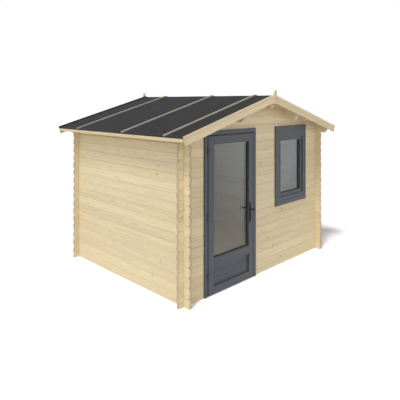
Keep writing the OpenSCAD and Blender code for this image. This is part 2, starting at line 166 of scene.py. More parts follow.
def sums(tree, operation, a, b=None, c=None):
    """One step of arithmetic on plain values."""
    given = {i: v for i, v in enumerate((a, b, c)) if v is not None}
    return wire(tree, "ShaderNodeMath", given, operation=operation).outputs[0]


def smooth(tree, value, low, high, start=0.0, end=1.0):
    """A soft step from start to end while value goes from low to high."""
    return wire(tree, "ShaderNodeMapRange", {"Value": value, "From Min": low, "From Max": high,
                                             "To Min": start, "To Max": end},
                interpolation_type="SMOOTHSTEP").outputs[0]


def blended(tree, share, a, b, mode="MIX"):
    """A mix of two colours."""
    return wire(tree, "ShaderNodeMix", {0: share, 6: a, 7: b}, data_type="RGBA",
                blend_type=mode).outputs[2]


def times(tree, vector, by):
    """A vector or a colour times three numbers, or times one value."""
    if isinstance(by, tuple):
        return wire(tree, "ShaderNodeVectorMath", {0: vector, 1: by},
                    operation="MULTIPLY").outputs[0]
    return wire(tree, "ShaderNodeVectorMath", {0: vector, "Scale": by},
                operation="SCALE").outputs[0]


def noisy(tree, place, scale, detail, output="Fac"):
    """Fine and coarse clouds over the given place."""
    return wire(tree, "ShaderNodeTexNoise",
                {"Vector": place, "Scale": scale, "Detail": detail}).outputs[output]


def marked(tree, name, output="Fac"):
    """A mark that the mesh carries."""
    return wire(tree, "ShaderNodeAttribute", attribute_name=name).outputs[output]


def own_place(tree):
    """The place of a point on its own piece."""
    return wire(tree, "ShaderNodeTexCoord").outputs["Object"]


# The timber carries four marks: grain holds the distance along, into and across each board from
# its heart, board is a number of its own, end is 1 on its sawn ends, and joint goes to 1 down into
# the joint between two boards, where the wood is darkened for dust and as painted shade.
softwood, given, made = new_group(
    "Softwood", "ShaderNodeTree",
    [("Early wood", "NodeSocketColor", (0.8, 0.7, 0.5, 1)),
     ("Late wood", "NodeSocketColor", (0.7, 0.55, 0.35, 1)),
     ("Knot", "NodeSocketColor", (0.3, 0.18, 0.09, 1)),
     ("Ring width", "NodeSocketFloat", 0.003),
     ("Knottiness", "NodeSocketFloat", 0.5),
     ("End tint", "NodeSocketFloat", 0.5)],
    [("Color", "NodeSocketColor"), ("Roughness", "NodeSocketFloat"),
     ("Height", "NodeSocketFloat"), ("Fibre", "NodeSocketFloat")])
grain = marked(softwood, "grain", "Vector")
board, end, joint = [marked(softwood, name) for name in ("board", "end", "joint")]
sway = noisy(softwood, times(softwood, grain, (0.9, 5.0, 5.0)), 1.0, 2.0, "Color")
sway = wire(softwood, "ShaderNodeVectorMath", {0: sway, 1: (0.5, 0.5, 0.5)},
            operation="SUBTRACT").outputs[0]
bent = wire(softwood, "ShaderNodeVectorMath", {0: grain, 1: times(softwood, sway, 0.030)})
parts = wire(softwood, "ShaderNodeSeparateXYZ", {0: bent.outputs[0]}).outputs
cells = wire(softwood, "ShaderNodeTexVoronoi",
             {"Vector": times(softwood, grain, (5.0, 1.2, 7.0)), "Scale": 1.0})
luck = wire(softwood, "ShaderNodeSeparateColor", {0: cells.outputs["Color"]}).outputs
size = wire(softwood, "ShaderNodeMapRange", {"Value": luck[0], "To Min": 0.030, "To Max": 0.085})
there = sums(softwood, "LESS_THAN", luck[1], given.outputs["Knottiness"])
reach = sums(softwood, "DIVIDE", cells.outputs["Distance"], size.outputs[0])
knot = sums(softwood, "MULTIPLY", there, smooth(softwood, reach, 0.75, 1.05, 1.0, 0.0))
halo = sums(softwood, "MULTIPLY", there, smooth(softwood, reach, 0.8, 3.6, 1.0, 0.0))
radius = sums(softwood, "SQRT", sums(softwood, "MULTIPLY_ADD", parts[1], parts[1],
                                    sums(softwood, "MULTIPLY", parts[2], parts[2])))
radius = sums(softwood, "MULTIPLY_ADD", halo, 0.010, radius)
rings = sums(softwood, "FRACT", sums(softwood, "DIVIDE", radius, given.outputs["Ring width"]))
late = sums(softwood, "MULTIPLY", smooth(softwood, rings, 0.35, 0.90),
            smooth(softwood, rings, 0.94, 1.0, 1.0, 0.0))
fibre = noisy(softwood, times(softwood, grain, (9.0, 420.0, 420.0)), 1.0, 3.0)
streak = noisy(softwood, times(softwood, grain, (0.8, 22.0, 22.0)), 1.0, 3.0)
plain = blended(softwood, sums(softwood, "MULTIPLY", late, 0.55), given.outputs["Early wood"],
                given.outputs["Late wood"])
tones = wire(softwood, "ShaderNodeValToRGB", {"Fac": board})
for at, tint in ((0.0, (0.93, 0.93, 0.90, 1)), (0.2, (1.03, 1.00, 0.96, 1)),
                 (0.4, (1.00, 0.965, 0.94, 1)), (0.6, (0.97, 0.975, 0.93, 1)),
                 (0.8, (1.05, 1.04, 1.02, 1)), (1.0, (0.98, 0.95, 0.90, 1))):
    stop = tones.color_ramp.elements.new(at) if 0 < at < 1 else tones.color_ramp.elements[int(at)]
    stop.color = tint
toned = blended(softwood, 1.0, plain, tones.outputs[0], "MULTIPLY")
light = sums(softwood, "MULTIPLY_ADD", streak, 0.26, 0.87)
light = sums(softwood, "MULTIPLY", light, sums(softwood, "MULTIPLY_ADD", fibre, 0.12, 0.94))
# Painted shade, with some dust: the wood darkens down into each joint, to 0.82 at the deepest.
light = sums(softwood, "MULTIPLY", light, smooth(softwood, joint, 0.0, 0.7, 1.0, 0.82))
toned = times(softwood, toned, light)
toned = blended(softwood, sums(softwood, "MULTIPLY", halo, 0.30), toned,
                given.outputs["Late wood"])
toned = blended(softwood, sums(softwood, "MULTIPLY", knot, 0.72), toned, given.outputs["Knot"])
sawn = times(softwood, toned, (0.74, 0.71, 0.69))
toned = blended(softwood, sums(softwood, "MULTIPLY", end, given.outputs["End tint"]), toned, sawn)
softwood.links.new(toned, made.inputs["Color"])
softwood.links.new(sums(softwood, "MULTIPLY_ADD", late, -0.10, 0.66), made.inputs["Roughness"])
softwood.links.new(sums(softwood, "MULTIPLY_ADD", fibre, 0.00012,
                        sums(softwood, "MULTIPLY", late, 0.00010)), made.inputs["Height"])
softwood.links.new(fibre, made.inputs["Fibre"])

# Handling lifts a little colour off every arris. edge is 1 on the eased edges of a piece.
wear, given, made = new_group(
    "Edge wear", "ShaderNodeTree",
    [("Color", "NodeSocketColor", (0.5, 0.5, 0.5, 1)),
     ("Worn", "NodeSocketColor", (0.8, 0.8, 0.8, 1)),
     ("Amount", "NodeSocketFloat", 0.5)],
    [("Color", "NodeSocketColor")])
patch = noisy(wear, own_place(wear), 14.0, 4.0)
share = sums(wear, "MULTIPLY", smooth(wear, patch, 0.35, 0.70), marked(wear, "edge"))
share = sums(wear, "MULTIPLY", share, given.outputs["Amount"])
wear.links.new(blended(wear, share, given.outputs["Color"], given.outputs["Worn"]),
               made.inputs["Color"])


def srgb(red, green, blue):
    """A colour given as it looks on a screen, from 0 to 255."""
    return tuple(((v / 255 + 0.055) / 1.055) ** 2.4 for v in (red, green, blue)) + (1.0,)


def worn_arris(tree, colour, worn, amount=0.5):
    """A colour with the wear of the edges on it."""
    return wire(tree, "ShaderNodeGroup", {"Color": colour, "Worn": worn, "Amount": amount},
                node_tree=wear).outputs[0]


def bumped(tree, height, strength, distance, sockets):
    """The shader of a surface whose height stands out by strength times distance."""
    bump = wire(tree, "ShaderNodeBump", {"Height": height, "Strength": strength,
                                         "Distance": distance})
    return wire(tree, "ShaderNodeBsdfPrincipled", dict(sockets, Normal=bump.outputs[0]))


def bare_timber(name, early, late, knot, worn, rings, knots, end_tint, relief):
    """Unpainted softwood. Relief is how far the bump stands out."""
    material, tree = new_material(name)
    wood = wire(tree, "ShaderNodeGroup", {
        "Early wood": srgb(*early), "Late wood": srgb(*late), "Knot": srgb(*knot),
        "Ring width": rings, "Knottiness": knots, "End tint": end_tint}, node_tree=softwood)
    shown(tree, bumped(tree, wood.outputs["Height"], relief, 1.0, {
        "Base Color": worn_arris(tree, wood.outputs["Color"], srgb(*worn)),
        "Roughness": wood.outputs["Roughness"], "Specular IOR Level": 0.35}))
    return material


def eased(name, nodes, arris, run, material, body, seed, cracks=20, shape=None):
    """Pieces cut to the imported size, or to a given shape, with every edge sharper than cracks
    degrees eased. run gives a point's distance along, into and across the grain."""
    bm = bmesh.new()
    if shape:
        bm.from_mesh(shape)
    for node in nodes:
        bm.from_mesh(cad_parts[node].data)
    bmesh.ops.remove_doubles(bm, verts=bm.verts, dist=1e-5)
    bmesh.ops.dissolve_limit(bm, angle_limit=math.radians(0.5), verts=bm.verts, edges=bm.edges)
    sharp = [e for e in bm.edges if e.is_manifold and e.calc_face_angle(0) > math.radians(cracks)]
    eased_faces = set()
    if arris:
        made = bmesh.ops.bevel(bm, geom=sharp, offset=arris, segments=2, affect="EDGES",
                               clamp_overlap=True, loop_slide=True)
        eased_faces = set(made["faces"])
    luck = random.Random(seed)
    marks = {mark: bm.faces.layers.float.new(mark) for mark in ("edge", "board", "end")}
    along = bm.verts.layers.float_vector.new("grain")
    met = set()
    for first in bm.verts:
        if first in met:
            continue
        island = [first]
        met.add(first)
        for v in island:
            for other in [e.other_vert(v) for e in v.link_edges]:
                if other not in met:
                    met.add(other)
                    island.append(other)
        number = luck.random()
        places = [Vector(run(v.co)) for v in island]
        middle = sum(places, Vector()) / len(places)
        heart = Vector((number * 90 - middle.x, 0.03 + 0.04 * luck.random() - middle.y,
                        0.05 * (luck.random() - 0.5) - middle.z))
        for v, p in zip(island, places):
            v[along] = p + heart
        for face in [f for v in island for f in v.link_faces]:
            face[marks["board"]] = number
            face[marks["edge"]] = float(face in eased_faces)
            corners = [Vector(run(v.co)) for v in face.verts]
            spread = [max(c[i] for c in corners) - min(c[i] for c in corners) for i in range(3)]
            face[marks["end"]] = float(spread[0] < 0.25 * max(spread[1:]))
    placed(name, as_mesh(name, bm), material, body, nodes)


def dressed(mesh, material):
    mesh.materials.clear()
    mesh.materials.append(material)


def placed(name, mesh, material, body, nodes=()):
    """The finished piece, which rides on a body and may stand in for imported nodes."""
    piece = added(name, mesh)
    dressed(mesh, material)
    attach(piece, body)
    if nodes:
        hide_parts(*nodes)


def run_x(p):
    return (p.x, p.y, p.z)


def run_y(p):
    return (p.y, p.x, p.z)


def run_z(p):
    return (p.z, p.y, p.x)


rough_sawn = bare_timber(
    "rough sawn softwood", early=(196, 168, 126), late=(160, 124, 80), knot=(96, 64, 38),
    worn=(206, 182, 142), rings=0.0042, knots=0.4, end_tint=0.4, relief=3.0)
eased("bearers", ["floor_bearers"], 0.0015, run_x, rough_sawn, "shed", seed=3)


# ---- floor boards ----
# Tongued and grooved boards, nailed across the bearers, with a fine joint between each two. One
# tree lays such boards, and it lays the logs and the roof too.

stack, given, made = new_group(
    "Stacked boards", "GeometryNodeTree",
    [("Geometry", "NodeSocketGeometry", None),
     ("Board height", "NodeSocketFloat", 0.12), ("Board thickness", "NodeSocketFloat", 0.04),
     ("Joint height", "NodeSocketFloat", 0.01), ("Joint depth", "NodeSocketFloat", 0.007),
     ("End chamfer", "NodeSocketFloat", 0.0015), ("Nose length", "NodeSocketFloat", 0.0),
     ("Nose height", "NodeSocketFloat", 0.0), ("Nose depth", "NodeSocketFloat", 0.0),
     ("Nosed beyond", "NodeSocketFloat", 100.0), ("Cuts", "NodeSocketInt", 0),
     ("Roof height", "NodeSocketFloat", 100.0), ("Roof slope", "NodeSocketFloat", 1.0),
     ("Place", "NodeSocketVector", (0, 0, 0)), ("Turn", "NodeSocketRotation", None),
     ("Material", "NodeSocketMaterial", None)],
    [("Geometry", "NodeSocketGeometry")])
size = given.outputs
lean = sums(stack, "DIVIDE", size["Joint height"], size["Joint depth"])
outline = wire(stack, "GeometryNodeCurvePrimitiveQuadrilateral",
               {"Width": sums(stack, "MULTIPLY", size["Board thickness"], lean),
                "Height": size["Board height"]})
outline = wire(stack, "GeometryNodeFilletCurve", {"Curve": outline.outputs[0], "Count": 3,
                                                  "Radius": size["Joint height"]}, mode="POLY")
outline = wire(stack, "GeometryNodeSubdivideCurve", {"Curve": outline.outputs[0],
                                                     "Cuts": size["Cuts"]})
narrow = wire(stack, "ShaderNodeCombineXYZ", {0: sums(stack, "DIVIDE", 1.0, lean), 1: 1.0, 2: 1.0})
outline = wire(stack, "GeometryNodeTransform", {"Geometry": outline.outputs[0],
                                                "Scale": narrow.outputs[0]})
length = wire(stack, "GeometryNodeCurvePrimitiveLine", {"End": (1, 0, 0)})
length = wire(stack, "GeometryNodeResampleCurve", {"Curve": length.outputs[0], "Count": 4})
unit = wire(stack, "GeometryNodeCurveToMesh", {"Curve": length.outputs[0],
                                               "Profile Curve": outline.outputs[0],
                                               "Fill Caps": True})


def stored(tree, geometry, name, value, kind="FLOAT"):
    """Keeps a value on every point."""
    return wire(tree, "GeometryNodeStoreNamedAttribute",
                {"Geometry": geometry.outputs[0], "Name": name, "Value": value},
                data_type=kind, domain="POINT")


def mark(tree, name, kind="FLOAT"):
    """Reads a value back."""
    return wire(tree, "GeometryNodeInputNamedAttribute", {"Name": name},
                data_type=kind).outputs["Attribute"]


unit = stored(stack, unit, "unit", wire(stack, "GeometryNodeInputPosition").outputs[0],
              "FLOAT_VECTOR")
laid = wire(stack, "GeometryNodeInstanceOnPoints", {"Points": size["Geometry"],
                                                    "Instance": unit.outputs[0]})
laid = wire(stack, "GeometryNodeRealizeInstances", {"Geometry": laid.outputs[0]})

board_marks = ("start", "stop", "level", "low", "high", "board")
start, stop, level, low, high, number = [mark(stack, name) for name in board_marks]
ux, uy, uz = wire(stack, "ShaderNodeSeparateXYZ",
                  {0: mark(stack, "unit", "FLOAT_VECTOR")}).outputs
outer = sums(stack, "GREATER_THAN", sums(stack, "ABSOLUTE", sums(stack, "SUBTRACT", ux, 0.5)), 0.4)
far = sums(stack, "GREATER_THAN", ux, 0.5)
x = sums(stack, "ADD", sums(stack, "MULTIPLY", sums(stack, "SUBTRACT", stop, start), far), start)
nosed = sums(stack, "GREATER_THAN", sums(stack, "ABSOLUTE", x), size["Nosed beyond"])
chamfer, back, drop = [
    sums(stack, "MAXIMUM", size["End chamfer"], sums(stack, "MULTIPLY", nosed, size[nose]))
    for nose in ("Nose depth", "Nose length", "Nose height")]
inset = sums(stack, "MULTIPLY", sums(stack, "SUBTRACT", 1.0, outer), back)
x = sums(stack, "ADD", x, sums(stack, "MULTIPLY", inset, sums(stack, "MULTIPLY_ADD", far, -2.0,
                                                              1.0)))
trims = [sums(stack, "DIVIDE", sums(stack, "MULTIPLY", sums(stack, "MULTIPLY", outer, cut), -2.0),
              size[side]) for cut, side in ((chamfer, "Board thickness"), (drop, "Board height"))]
y = sums(stack, "MULTIPLY", uy, sums(stack, "ADD", trims[0], 1.0))
z = sums(stack, "MULTIPLY", uz, sums(stack, "ADD", trims[1], 1.0))
middle = sums(stack, "MULTIPLY_ADD", size["Board height"], 0.5, level)
z = sums(stack, "MINIMUM", sums(stack, "MAXIMUM", sums(stack, "ADD", z, middle), low), high)
z = sums(stack, "MINIMUM", z, sums(stack, "SUBTRACT", size["Roof height"], 0.001))
reach = sums(stack, "DIVIDE", sums(stack, "SUBTRACT", size["Roof height"], z), size["Roof slope"])
x = sums(stack, "MAXIMUM", sums(stack, "MINIMUM", x, reach), sums(stack, "MULTIPLY", reach, -1.0))
position = wire(stack, "ShaderNodeCombineXYZ", {0: x, 1: y, 2: z}).outputs[0]
laid = wire(stack, "GeometryNodeSetPosition", {"Geometry": laid.outputs[0],
                                               "Position": position})
heart = wire(stack, "ShaderNodeCombineXYZ", {
    0: sums(stack, "MULTIPLY_ADD", number, 90.0, x),
    1: sums(stack, "ADD", y, sums(stack, "MULTIPLY_ADD", sums(
        stack, "FRACT", sums(stack, "MULTIPLY", number, 7.3)), 0.045, 0.030)),
    2: sums(stack, "ADD", sums(stack, "SUBTRACT", z, middle), sums(
        stack, "MULTIPLY_ADD", sums(stack, "FRACT", sums(stack, "MULTIPLY", number, 3.7)),
        0.06, -0.03))}).outputs[0]
laid = stored(stack, laid, "grain", heart, "FLOAT_VECTOR")
laid = stored(stack, laid, "end", outer)
# joint: how far a point lies down into the bevel between two boards; the timber darkens there as
# dust and as painted shade.
depth = sums(stack, "DIVIDE", sums(stack, "SUBTRACT", sums(stack, "ADD", sums(
    stack, "ABSOLUTE", uz), size["Joint height"]), sums(stack, "MULTIPLY", size["Board height"],
                                                        0.5)), size["Joint height"])
laid = stored(stack, laid, "joint", sums(stack, "MAXIMUM", depth, 0.0))
laid = wire(stack, "GeometryNodeSetShadeSmooth", {"Geometry": laid.outputs[0],
                                                  "Shade Smooth": False})
laid = wire(stack, "GeometryNodeTransform", {"Geometry": laid.outputs[0],
                                             "Translation": size["Place"],
                                             "Rotation": size["Turn"]})
laid = wire(stack, "GeometryNodeSetMaterial", {"Geometry": laid.outputs[0],
                                               "Material": size["Material"]})
stack.links.new(laid.outputs[0], made.inputs[0])


def grown(name, tree, mesh, values):
    """Runs a tree on a mesh with the given inputs, and returns its result as a plain mesh."""
    seed = added(name + "_seed", mesh)
    nodes = seed.modifiers.new(name, "NODES")
    nodes.node_group = tree
    sockets = {s.name: s.identifier for s in tree.interface.items_tree
               if s.item_type == "SOCKET" and s.in_out == "INPUT"}
    for title, value in values.items():
        nodes[sockets[title]] = value
    graph = bpy.context.evaluated_depsgraph_get()
    result = bpy.data.meshes.new_from_object(seed.evaluated_get(graph))
    bpy.data.objects.remove(seed)
    result.name = name
    for mark_name in ("unit",) + board_marks[:-1]:
        if mark_name in result.attributes:
            result.attributes.remove(result.attributes[mark_name])
    return result


def laid_boards(name, boards, values):
    """boards holds the start, the stop, the level of the lower edge, the lowest and the highest
    level that is left of it and the number of each board."""
    mesh = bpy.data.meshes.new(name)
    mesh.from_pydata([(0, 0, 0)] * len(boards), [], [])
    for i, mark_name in enumerate(board_marks):
        marks = mesh.attributes.new(mark_name, "FLOAT", "POINT")
        marks.data.foreach_set("value", [b[i] for b in boards])
    return grown(name, stack, mesh, values)


def turned(x_to, z_to):
    """The turn that sends X to x_to and Z to z_to."""
    x_to, z_to = Vector(x_to).normalized(), Vector(z_to).normalized()
    return Matrix((x_to, z_to.cross(x_to), z_to)).transposed().to_euler()


floor_wood = bare_timber(
    "planed floor softwood", early=(222, 196, 152), late=(188, 148, 98), knot=(110, 72, 44),
    worn=(230, 208, 168), rings=0.0032, knots=0.55, end_tint=0.4, relief=1.5)
low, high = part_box("floor_boards")
uncut = (-9, 9)
boards, gap = 33, 0.0006
pitch = (high.x - low.x) / boards
luck = random.Random(11)
floor = laid_boards(
    "floor_planks",
    [(low.y, high.y, low.x + i * pitch, *uncut, luck.random()) for i in range(boards)],
    {"Board height": pitch - gap, "Board thickness": high.z - low.z, "Joint height": 0.002,
     "Joint depth": 0.0015, "Place": (0, 0, (low.z + high.z) / 2),
     "Turn": turned((0, 1, 0), (1, 0, 0)), "Material": floor_wood})
placed("floor_planks", floor, floor_wood, "shed", ["floor_boards"])


# ---- log walls ----
# Planed softwood logs with bevelled edges, laid one on the next and crossed at the corners. The
# front and back start with half a log, so that theirs lie between those of the sides. Their ends
# are nosed at the corners, not at the door and the window.

log_wood = bare_timber(
    "log softwood", early=(234, 220, 187), late=(211, 189, 147), knot=(146, 112, 74),
    worn=(234, 221, 190), rings=0.0036, knots=0.62, end_tint=0.72, relief=1.5)
left_end, left_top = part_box("front_wall_left")
right_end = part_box("front_wall_right")[1].x
door_low, door_high = left_top.x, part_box("front_wall_middle")[0].x
ledge_low, ledge_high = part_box("front_wall_under_window")
lintel = left_top.z
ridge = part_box("ridge_purlin")[1].z
roof_angle, courses = math.radians(16), 16
slope, roof_cos, roof_sin = math.tan(roof_angle), math.cos(roof_angle), math.sin(roof_angle)
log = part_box("top_logs")[0].z / courses
thick = left_top.y - left_end.y
hair = 1e-6
wall_look = {"Board height": log - 0.0003, "Board thickness": thick, "Joint height": 0.0044,
             "Joint depth": 0.0032, "Nose length": 0.022, "Nose height": 0.017,
             "Nose depth": 0.004, "Nosed beyond": 1.25, "Material": log_wood}


def end_wall_logs(openings, seed):
    """Logs of the front or the back, cut for openings (low x, high x, low z, high z)."""
    luck = random.Random(seed)
    numbers, logs = {}, []
    for course in range(int(ridge / log) + 2):
        level = (course - 0.5) * log
        cuts = sorted({max(level, 0.0), min(level + log, ridge)}
                      | {z for o in openings for z in o[2:] if level < z < level + log})
        for low, high in zip(cuts, cuts[1:]):
            edges = [left_end.x]
            for x0, x1, z0, z1 in sorted(openings):
                if z0 <= low and high <= z1 + hair:
                    edges += [x0, x1]
            edges.append(right_end)
            for k in range(0, len(edges), 2):
                whole = len(cuts) > 2 and cuts[1] > lintel - hair
                key = (course, 0 if whole else k if len(cuts) == 2 or k == 0 else 2)
                number = numbers.setdefault(key, luck.random())
                logs.append((edges[k], edges[k + 1], level, low, high, number))
    return logs


gable_look = dict(wall_look, **{"Roof height": ridge, "Roof slope": slope, "Cuts": 4})
front = laid_boards("front_logs", end_wall_logs(
    [(door_low, door_high, 0.0, lintel), (ledge_low.x, ledge_high.x, ledge_high.z, lintel)], 21),
    dict(gable_look, Place=(0, left_end.y + thick / 2, 0)))
placed("front_logs", front, log_wood, "shed", [
    "front_wall_left", "front_wall_middle", "front_wall_right", "front_wall_under_window",
    "front_gable"])
back = laid_boards("back_logs", end_wall_logs([], 22),
                   dict(gable_look, Place=(0, -left_end.y - thick / 2, 0)))
placed("back_logs", back, log_wood, "shed", ["back_wall", "back_gable"])

for side, node in ((-1, "left_wall"), (1, "right_wall")):
    low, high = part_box(node)
    luck = random.Random(25 + side)
    logs = laid_boards(
        node + "_logs",
        [(low.y, high.y, k * log, 0, high.z, luck.random()) for k in range(round(high.z / log))],
        dict(wall_look, Place=((low.x + high.x) / 2, 0, 0), Turn=turned((0, 1, 0), (0, 0, 1))))
    placed(node + "_logs", logs, log_wood, "shed", [node])


# ---- top logs and purlins ----
# The top log of each side wall, a purlin on each slope and the ridge purlin run through both
# gables to the bargeboards, and their ends are cut back in a slant.

eased("top_log_pair", ["top_logs"], 0.0015, run_y, log_wood, "shed", seed=31)
eased("purlins", ["purlin_left", "purlin_right"], 0.002, run_y, log_wood, "shed",
      seed=32)
eased("ridge_beam", ["ridge_purlin"], 0.002, run_y, log_wood, "shed", seed=33)


# ---- roof boards ----
# Tongued and grooved boards that run from the ridge to the eave over the purlins. Their joints
# show from below, under the overhangs and inside. The last board ends 40 mm before the back verge.

roof_wood = bare_timber(
    "roof board softwood", early=(226, 206, 168), late=(198, 166, 120), knot=(126, 88, 56),
    worn=(234, 216, 180), rings=0.0034, knots=0.6, end_tint=0.5, relief=1.5)
boards, pitch, gap, short = 32, 0.088, 0.0004, 0.003
for side, node in ((-1, "roof_boards_left"), (1, "roof_boards_right")):
    low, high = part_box(node)
    deck = high.z - ridge
    run = max(-low.x, high.x) / roof_cos
    luck = random.Random(41 + side)
    planks = laid_boards(
        node + "_planks",
        [(0.0, run - short, low.y + i * pitch, *uncut, luck.random()) for i in range(boards)],
        {"Board height": pitch - gap, "Board thickness": deck * roof_cos,
         "Joint height": 0.004, "Joint depth": 0.0035, "Place": (0, 0, ridge + deck / 2),
         "Turn": turned((side, 0, -slope), (0, 1, 0)), "Material": roof_wood})
    placed(node + "_planks", planks, roof_wood, "shed", [node])


# ---- fascias ----
# A planed softwood strip along each eave, nailed over the ends of the roof boards. The felt is
# turned down in front of it.

pale_wood = bare_timber(
    "pale board softwood", early=(229, 215, 182), late=(208, 185, 144), knot=(140, 106, 72),
    worn=(234, 222, 196), rings=0.0036, knots=0.45, end_tint=0.5, relief=1.5)
eased("eave_fascias", ["fascias"], 0.0015, run_y, pale_wood, "shed", seed=51)


# ---- roofing felt ----
# Bitumen felt faced with fine mineral, in strips about a metre wide, narrower at the verges. They
# are laid from eave to eave over the ridge, turned down at the eaves and lie a little unevenly.

mineral, tree = new_material("mineral felt")
spot = own_place(tree)
grit = wire(tree, "ShaderNodeTexVoronoi", {"Vector": spot, "Scale": 620.0})
speck = wire(tree, "ShaderNodeSeparateColor", {0: grit.outputs["Color"]}).outputs
cloud = wire(tree, "ShaderNodeTexNoise", {"Vector": spot, "Scale": 2.2, "Detail": 5.0,
                                          "Roughness": 0.6}).outputs["Fac"]
shade = wire(tree, "ShaderNodeValToRGB", {"Fac": speck[0]})
shade.color_ramp.elements[0].color = srgb(17, 17, 18)
shade.color_ramp.elements[1].color = srgb(45, 44, 46)
middle = shade.color_ramp.elements.new(0.7)
middle.color = srgb(28, 28, 29)
worn = sums(tree, "MULTIPLY", sums(tree, "MULTIPLY_ADD", cloud, 0.5, 0.75),
            sums(tree, "MULTIPLY_ADD", marked(tree, "board"), 0.16, 0.92))
shown(tree, bumped(tree, sums(tree, "MULTIPLY", speck[1], 0.0006), 0.6, 1.0, {
    "Base Color": times(tree, shade.outputs[0], worn), "Specular IOR Level": 0.3,
    "Roughness": sums(tree, "MULTIPLY_ADD", cloud, 0.2, 0.78)}))

low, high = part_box("felt_left")
felt_x, felt_end = -low.x, high.y
skin, lift = 0.003, 0.0016
laps = (-1.105, -0.258, 0.871)
steps, rows_along = 30, 64
outer = [(felt_x * i / steps, high.z - felt_x * slope * i / steps) for i in range(steps + 1)]
inner = [(x * (1 - skin / felt_x), z - skin) for x, z in reversed(outer)]
outer.append((felt_x, low.z))
inner.insert(0, (felt_x - skin, low.z))
ring = [(-x, z) for x, z in reversed(outer[1:])] + outer
ring += inner + [(-x, z) for x, z in reversed(inner[:-1])]
bm = bmesh.new()
strips = bm.faces.layers.float.new("board")
rows = []
for j in range(rows_along + 1):
    y = -felt_end + 2 * felt_end * j / rows_along
    row = []
    for k, (x, z) in enumerate(ring):
        if 0 < k < 2 * len(outer) - 2 and 0 < j < rows_along:
            z += max(lift * (0.5 + noise.noise(Vector((x * 3.1, y * 3.1, 4.0)))), 0.0)
        row.append(bm.verts.new((x, y, z)))
    rows.append(row)
luck = random.Random(61)
strip_tones = [luck.random() for _ in range(len(laps) + 1)]
for j in range(rows_along):
    for k in range(len(ring)):
        n = (k + 1) % len(ring)
        face = bm.faces.new((rows[j][k], rows[j][n], rows[j + 1][n], rows[j + 1][k]))
        face[strips] = strip_tones[sum(rows[j][k].co.y > lap for lap in laps)]
bm.faces.new(rows[0])
bm.faces.new(list(reversed(rows[-1])))
bmesh.ops.recalc_face_normals(bm, faces=bm.faces)
for face in bm.faces:
    face.smooth = True
for e in bm.edges:
    if e.calc_face_angle(0) > math.radians(20):
        e.smooth = False
placed("roof_felt", as_mesh("roof_felt", bm), mineral, "shed",
       ["felt_left", "felt_right"])


# ---- roof battens ----
# Strips of softwood, greyed by the weather, nailed through the felt over its laps, from each eave
# to the ridge.

def run_down(p):
    return (abs(p.x) * roof_cos - p.z * roof_sin, abs(p.x) * roof_sin + p.z * roof_cos, p.y)


grey_wood = bare_timber(
    "weathered softwood", early=(168, 165, 153), late=(148, 143, 129), knot=(104, 84, 62),
    worn=(186, 180, 164), rings=0.0036, knots=0.45, end_tint=0.5, relief=2.0)
eased("felt_battens", ["battens"], 0.0015, run_down, grey_wood, "shed", seed=71)


# ---- bargeboards ----
# A planed board up each verge, screwed to the ends of the purlins, cut square at the eave and
# plumb at the ridge.

def run_barge(p):
    along, up, depth = run_down(p)
    return (along, depth, up)


for end_name, seed in (("front", 86), ("back", 85)):
    eased("barge_pair_" + end_name, ["bargeboards_" + end_name], 0.0025, run_barge, pale_wood,
          "shed", seed=seed)


# ---- verge fillets ----
# Thin strips of softwood, a little greyer, nailed on the face of the front bargeboards along
# their top edge, from the finial to the eave.

def skinned(name, tubes, hoops=False):
    """A closed mesh over tubes, each a list of rings of points, capped, or joined as hoops."""
    bm = bmesh.new()
    for rings in tubes:
        rows = [[bm.verts.new(point) for point in ring] for ring in rings]
        for a, b in zip(rows, rows[1:] + rows[:int(hoops)]):
            for k in range(len(a)):
                bm.faces.new((a[k], a[k - 1], b[k - 1], b[k]))
        if not hoops:
            bm.faces.new(rows[0])
            bm.faces.new(rows[-1])
    bmesh.ops.recalc_face_normals(bm, faces=bm.faces)
    return as_mesh(name, bm)


low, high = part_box("bargeboards_front")
fillet_w, clear = 0.030, 0.0005
near_x, far_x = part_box("finials")[1].x + clear, high.x - clear
section = [(0.0, 0.0), (0.0035, 0.0), (0.004, 0.0005), (0.004, fillet_w - 0.004),
           (0.0015, fillet_w), (0.0, fillet_w)]
strips = skinned("strips", [[
    [(side * near_x, low.y - out, high.z - near_x * slope - deep / roof_cos)
     for out, deep in section],
    [(side * (far_x - deep * roof_sin), low.y - out, high.z - far_x * slope - deep * roof_cos)
     for out, deep in section]] for side in (-1, 1)])
fillet_wood = bare_timber(
    "greyer softwood", early=(231, 218, 189), late=(210, 189, 153), knot=(118, 84, 54),
    worn=(222, 212, 188), rings=0.0036, knots=0.3, end_tint=0.3, relief=1.5)
eased("verge_fillets", [], 0, run_barge, fillet_wood, "shed", seed=85,
      shape=strips)


# ---- felt over the back verge ----
# A narrow strip of the same felt, folded over the top of the back bargeboards from the roof's
# surface to their outer face.

low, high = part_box("bargeboards_back")
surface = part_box("felt_left")[1].z
lap, fold, steps = 0.060, 0.014, 12
under = [(low.y - lap, surface + 0.0015), (low.y - 0.0005, surface + 0.0015),
         (low.y - 0.0005, high.z + 0.0005), (high.y + 0.0005, high.z + 0.0005),
         (high.y + 0.0005, high.z - fold)]
upper = [(low.y - lap, surface + 0.0035), (low.y - 0.0035, surface + 0.0035),
         (low.y - 0.0035, high.z + 0.0015), (low.y - 0.0015, high.z + 0.0030),
         (high.y + 0.0015, high.z + 0.0030), (high.y + 0.0030, high.z + 0.0015),
         (high.y + 0.0030, high.z - fold)]
verge_strip = skinned("verge_strip", [[
    [(x, y, z - abs(x) * slope) for y, z in under + upper[::-1]]
    for x in [high.x * (i / steps - 1) for i in range(2 * steps + 1)]]])
placed("verge_strip", verge_strip, mineral, "shed")


# ---- finials ----
# A short planed softwood post over the joint of the bargeboards at each end of the ridge. Its
# head is cut to a point that sheds water.

eased("gable_finials", ["finials"], 0.002, run_z, pale_wood, "shed", seed=91)


# ---- door frame ----
# Two uprights with a stop behind the leaf and a head over them, of planed softwood under a
# satin dark grey paint that lets a little of the grain through.

